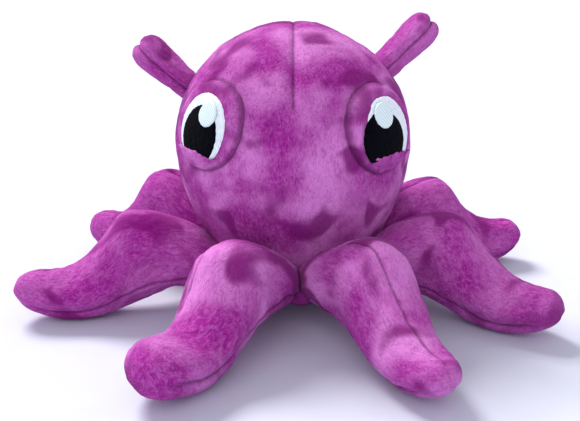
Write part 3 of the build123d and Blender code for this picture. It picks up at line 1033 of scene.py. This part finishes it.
def lid_cut(side, mound_seat, seat):
    """The lid's edge as a depth and a slope in the frame of one felt layer."""
    drop, slope = LID_EDGE[side]
    centre = seat.face * (HEAD_RADIUS + FELT_LEVEL)
    rise, shift = centre @ mound_seat.up, centre @ mound_seat.right
    return drop + LID_OVERLAP + rise + slope * shift, slope


def make_lid(side, seat, material):
    """Crescent of plush over the lower edge of the felt, with its pile standing over the edge."""
    drop, slope = LID_EDGE[side]
    outer = seat.half[0] * MOUND_SHARE - LID_INSET
    half_span = np.sqrt(outer**2 - drop**2) * LID_SPAN
    across = np.linspace(-half_span, half_span, LID_RINGS)
    upper = -drop - slope * across
    lower = np.maximum(-np.sqrt(outer**2 - across**2), upper - LID_WIDTH)
    taper = np.sqrt(np.clip(1 - (across / half_span) ** 4, 0, 1))
    middle = (upper + lower) / 2
    half = np.maximum((upper - lower) / 2, LID_THINNEST) * np.maximum(taper, LID_TAPER_END)
    turns = np.linspace(0, 2 * pi, LID_SPOKES, endpoint=False)
    track = np.stack([across, across * 0, across * 0 + FRINGE_SHIFT], axis=1)
    fringe = FRINGE_HEIGHT * noise(track, FRINGE_LENGTH)[:, None]
    up = middle[:, None] + half[:, None] * np.cos(turns) + fringe * np.clip(np.cos(turns), 0, 1)
    right = np.repeat(across[:, None], LID_SPOKES, axis=1)
    puff = LID_PUFF * np.sin(turns) * np.maximum(taper, LID_PUFF_END)[:, None]
    heights = LID_RISE + LID_LEAN * np.cos(turns) + puff
    flat = np.stack([right.ravel(), up.ravel(), heights.ravel()], axis=1)
    heights = heights + LID_RELIEF * noise(flat, LID_GRAIN).reshape(heights.shape)
    poles = seat.place(across[[0, -1]], middle[[0, -1]], np.full(2, LID_RISE))
    points = np.vstack([seat.place(right, up, heights).reshape(-1, 3), poles])
    piece = new_piece(f"{side}_eye_lower_lid_skin", points, tube_faces(LID_RINGS, LID_SPOKES))
    no_seam = np.zeros(len(points))
    finish_plush(piece, points, no_seam, head_nap(points), material, f"{side}_eye_lower_lid")
    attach(piece, "head")


# ---- studio ----
def make_studio():
    scene = bpy.context.scene
    camera = bpy.data.objects.new("camera", bpy.data.cameras.new("camera"))
    camera.data.lens = CAMERA_LENS
    camera.data.sensor_width = CAMERA_SENSOR
    camera.location = CAMERA_PLACE
    camera.rotation_euler = (radians(CAMERA_PITCH), 0, radians(CAMERA_TURN))
    scene.collection.objects.link(camera)
    scene.camera = camera
    half = FLOOR_SIZE / 2
    corners = [(-half, -half, 0), (half, -half, 0), (half, half, 0), (-half, half, 0)]
    floor_mesh = bpy.data.meshes.new("floor")
    floor_mesh.from_pydata(corners, [], [(0, 1, 2, 3)])
    floor = bpy.data.objects.new("floor", floor_mesh)
    floor.location = (0, 0, -FLOOR_DROP)
    floor.data.materials.append(floor_material())
    scene.collection.objects.link(floor)
    for sun in SUNS:
        add_sun(*sun)
    scene.world = pale_room()
    scene.view_settings.view_transform = "Standard"


def add_sun(name, strength, softness, tilt, colour):
    light = bpy.data.lights.new(name, "SUN")
    light.energy = strength
    light.angle = radians(softness)
    light.color = colour
    lamp = bpy.data.objects.new(name, light)
    lamp.rotation_euler = [radians(angle) for angle in tilt]
    bpy.context.scene.collection.objects.link(lamp)


def pale_room():
    """Even soft light from all round; the camera itself sees plain white behind the floor."""
    world = bpy.data.worlds.new("pale room")
    world.use_nodes = True
    tree = world.node_tree
    light = tree.nodes["Background"]
    light.inputs["Color"].default_value = ROOM_TINT
    light.inputs["Strength"].default_value = ROOM_LIGHT
    backdrop = tree.nodes.new("ShaderNodeBackground")
    backdrop.inputs["Color"].default_value = (1.0, 1.0, 1.0, 1.0)
    seen = tree.nodes.new("ShaderNodeLightPath").outputs["Is Camera Ray"]
    choice = tree.nodes.new("ShaderNodeMixShader")
    tree.links.new(seen, choice.inputs[0])
    tree.links.new(light.outputs[0], choice.inputs[1])
    tree.links.new(backdrop.outputs[0], choice.inputs[2])
    tree.links.new(choice.outputs[0], tree.nodes["World Output"].inputs["Surface"])
    return world


# ---- the whole toy ----
materials = {
    "plush": plush_material(),
    "white_felt": felt_material("white felt", linear(214, 226, 238), linear(240, 246, 252), 0.4, 0.15),
    "black_felt": felt_material("black felt", linear(1, 1, 6), linear(6, 7, 16), 0.3, 0.03),
    "white_thread": satin_material(),
    "thread": thread_material(),
}
tentacles = [Tentacle(joint) for joint in frame["joints"] if joint["child"].endswith("_tentacle")]
tentacles.sort(key=lambda tentacle: tentacle.azimuth)
fins = [Fin(joint) for joint in frame["joints"] if joint["child"].endswith("_fin")]

head = start_head()
tentacle_skins = [start_tentacle(tentacle) for tentacle in tentacles]
fin_skins = [start_fin(fin) for fin in fins]
head_bands = np.arange(HEAD_FOOT, BAND_TOP, BAND_HEIGHT)
bands = [np.digitize(get_points(head.data)[:, 2], head_bands)]
bands += [tube_bands(TENTACLE_RINGS, TENTACLE_SPOKES)] * len(tentacles)
bands += [tube_bands(FIN_RINGS, FIN_SPOKES)] * len(fins)
swell([head, *tentacle_skins, *fin_skins], bands)

sides = ("left", "right")
sculpt_head(head, materials["plush"], [Seat(f"{side}_eye_mound") for side in sides])
roots = np.array([tentacle.azimuth for tentacle in tentacles])
make_hub(materials["plush"], roots + wrapped(np.roll(roots, -1) - roots) / 2)
for number, (skin, tentacle) in enumerate(zip(tentacle_skins, tentacles)):
    beside = tentacles[number - 1], tentacles[(number + 1) % len(tentacles)]
    sculpt_tentacle(skin, tentacle, beside, materials["plush"], number + TENTACLE_SEED)
for number, (skin, fin) in enumerate(zip(fin_skins, fins)):
    sculpt_fin(skin, fin, materials["plush"], number + FIN_SEED)
for side in sides:
    make_eye(side, materials)
for material_slot in frame["nodes"]["closing_stitches"].material_slots:
    material_slot.material = materials["thread"]
make_studio()
